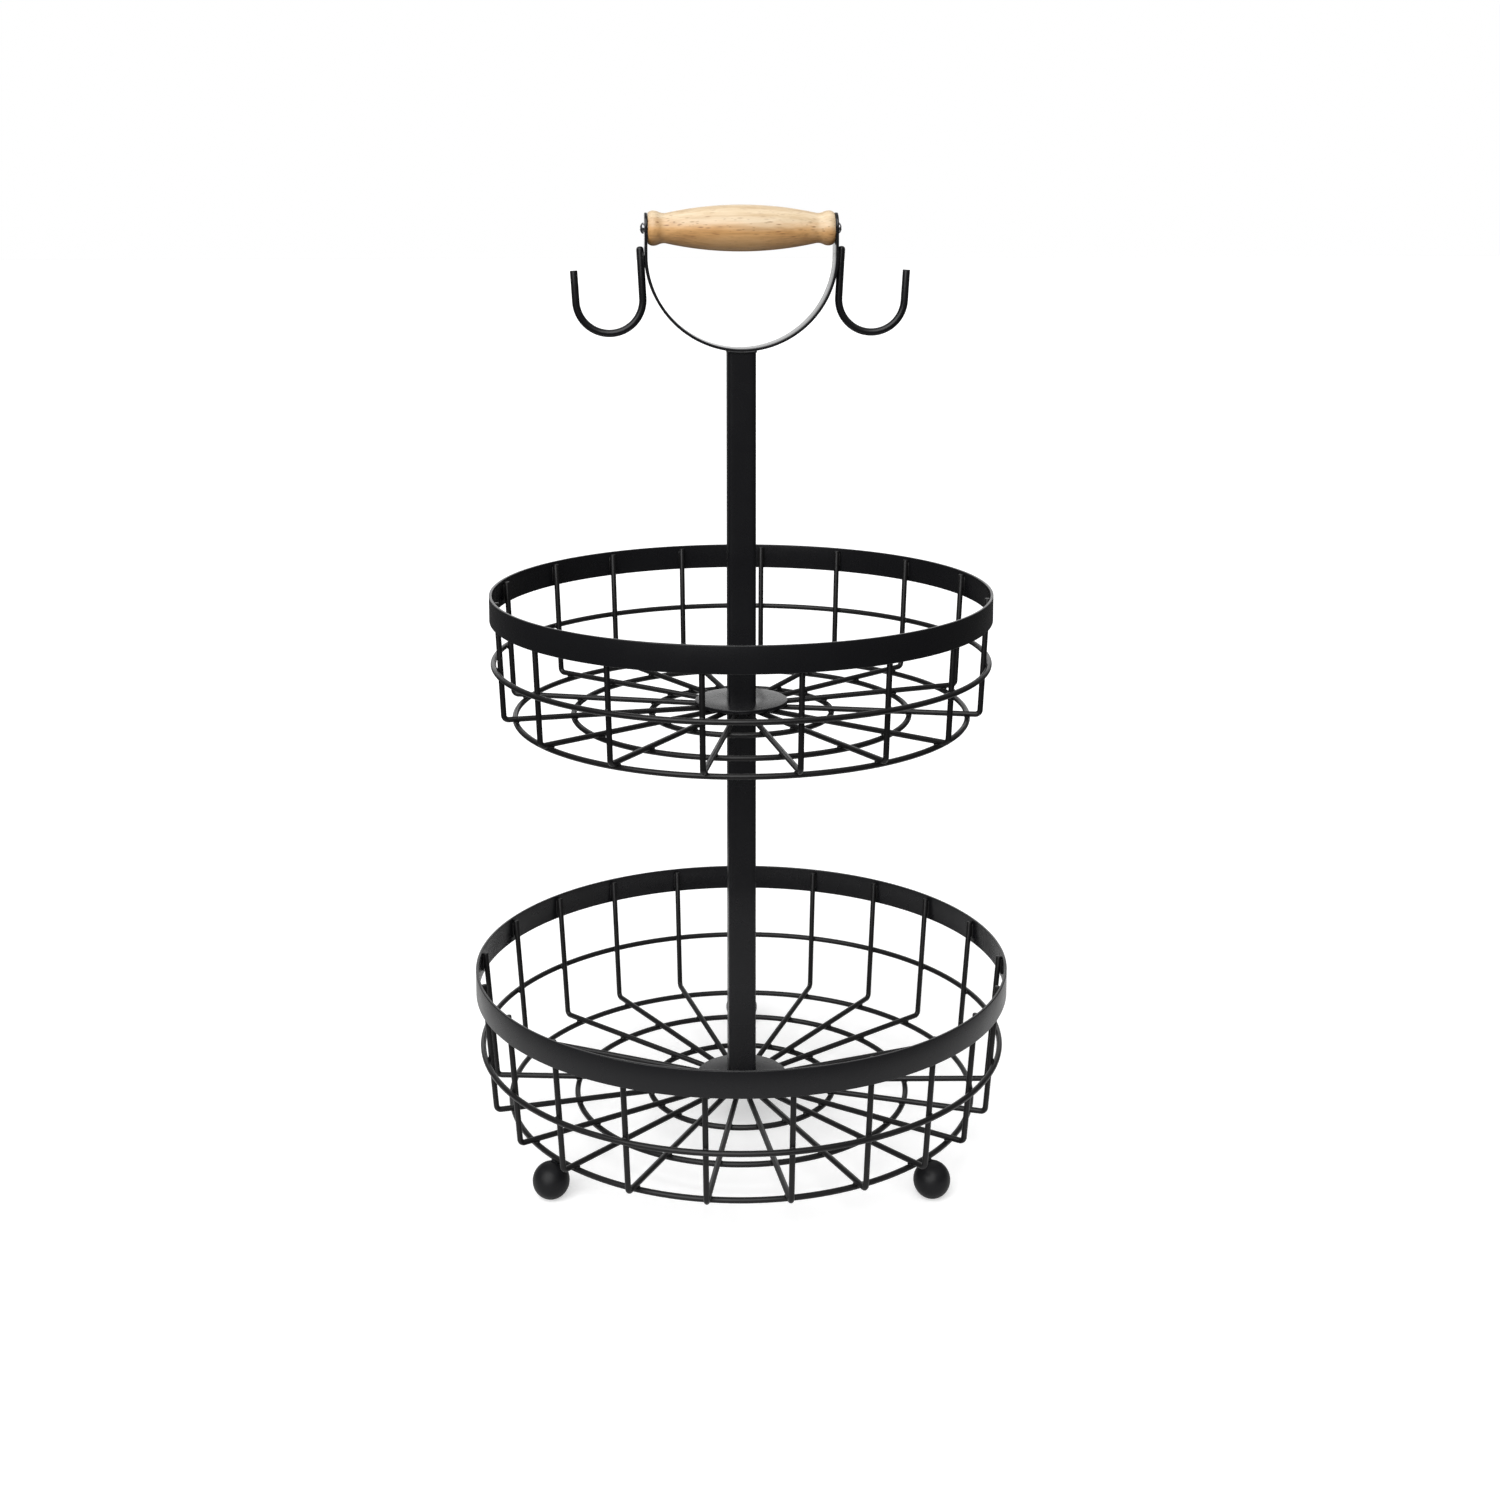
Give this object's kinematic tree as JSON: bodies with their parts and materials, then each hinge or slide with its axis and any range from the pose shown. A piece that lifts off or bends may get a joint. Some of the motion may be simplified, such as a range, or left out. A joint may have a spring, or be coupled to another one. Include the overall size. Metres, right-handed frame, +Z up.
{
  "type": "tiered wire basket",
  "caption": "Tiered round wire basket stand on a square pole, with ball feet, side hooks and a D-shaped carrying handle that has a turned wooden grip.",
  "frame": {"origin": "on the table under the pole's axis, in the plane of the flats under the ball feet", "axes": "+Z up along the pole, +X along the grip towards its right end seen from the front, front towards -Y"},
  "size_m": [0.29, 0.29, 0.5052],
  "materials": {
    "black_metal": "satin black powder coat",
    "foot_black": "smooth satin black",
    "beech": "clear satin lacquer on turned beech",
    "screw_steel": "bright plated steel",
    "zinc_steel": "zinc plated steel"
  },
  "bodies": {
    "stand": {"ball_feet": "foot_black", "base_screw": "zinc_steel", "handle_strap": "black_metal", "joining_stud": "zinc_steel", "left_hook": "black_metal", "lower_centre_plate": "black_metal", "lower_floor_ring_inner": "black_metal", "lower_floor_ring_middle": "black_metal", "lower_floor_ring_outer": "black_metal", "lower_pole": "black_metal", "lower_rim_band": "black_metal", "lower_side_ring": "black_metal", "lower_wire_01": "black_metal", "lower_wire_02": "black_metal", "lower_wire_03": "black_metal", "lower_wire_04": "black_metal", "lower_wire_05": "black_metal", "lower_wire_06": "black_metal", "lower_wire_07": "black_metal", "lower_wire_08": "black_metal", "lower_wire_09": "black_metal", "lower_wire_10": "black_metal", "lower_wire_11": "black_metal", "lower_wire_12": "black_metal", "lower_wire_13": "black_metal", "lower_wire_14": "black_metal", "lower_wire_15": "black_metal", "lower_wire_16": "black_metal", "lower_wire_17": "black_metal", "lower_wire_18": "black_metal", "lower_wire_19": "black_metal", "lower_wire_20": "black_metal", "lower_wire_21": "black_metal", "pole_plugs": "zinc_steel", "right_hook": "black_metal", "upper_centre_plate": "black_metal", "upper_floor_ring_inner": "black_metal", "upper_floor_ring_middle": "black_metal", "upper_floor_ring_outer": "black_metal", "upper_pole": "black_metal", "upper_rim_band": "black_metal", "upper_side_ring": "black_metal", "upper_wire_01": "black_metal", "upper_wire_02": "black_metal", "upper_wire_03": "black_metal", "upper_wire_04": "black_metal", "upper_wire_05": "black_metal", "upper_wire_06": "black_metal", "upper_wire_07": "black_metal", "upper_wire_08": "black_metal", "upper_wire_09": "black_metal", "upper_wire_10": "black_metal", "upper_wire_11": "black_metal", "upper_wire_12": "black_metal", "upper_wire_13": "black_metal", "upper_wire_14": "black_metal", "upper_wire_15": "black_metal", "upper_wire_16": "black_metal"},
    "grip": {"wooden_grip": "beech", "grip_screws": "screw_steel"}
  },
  "joints": [
    {"name": "grip_turn", "type": "hinge", "parent": "stand", "child": "grip", "pos_m": [0, 0, 0.49295], "axis": [1, 0, 0], "continuous": true}
  ]
}
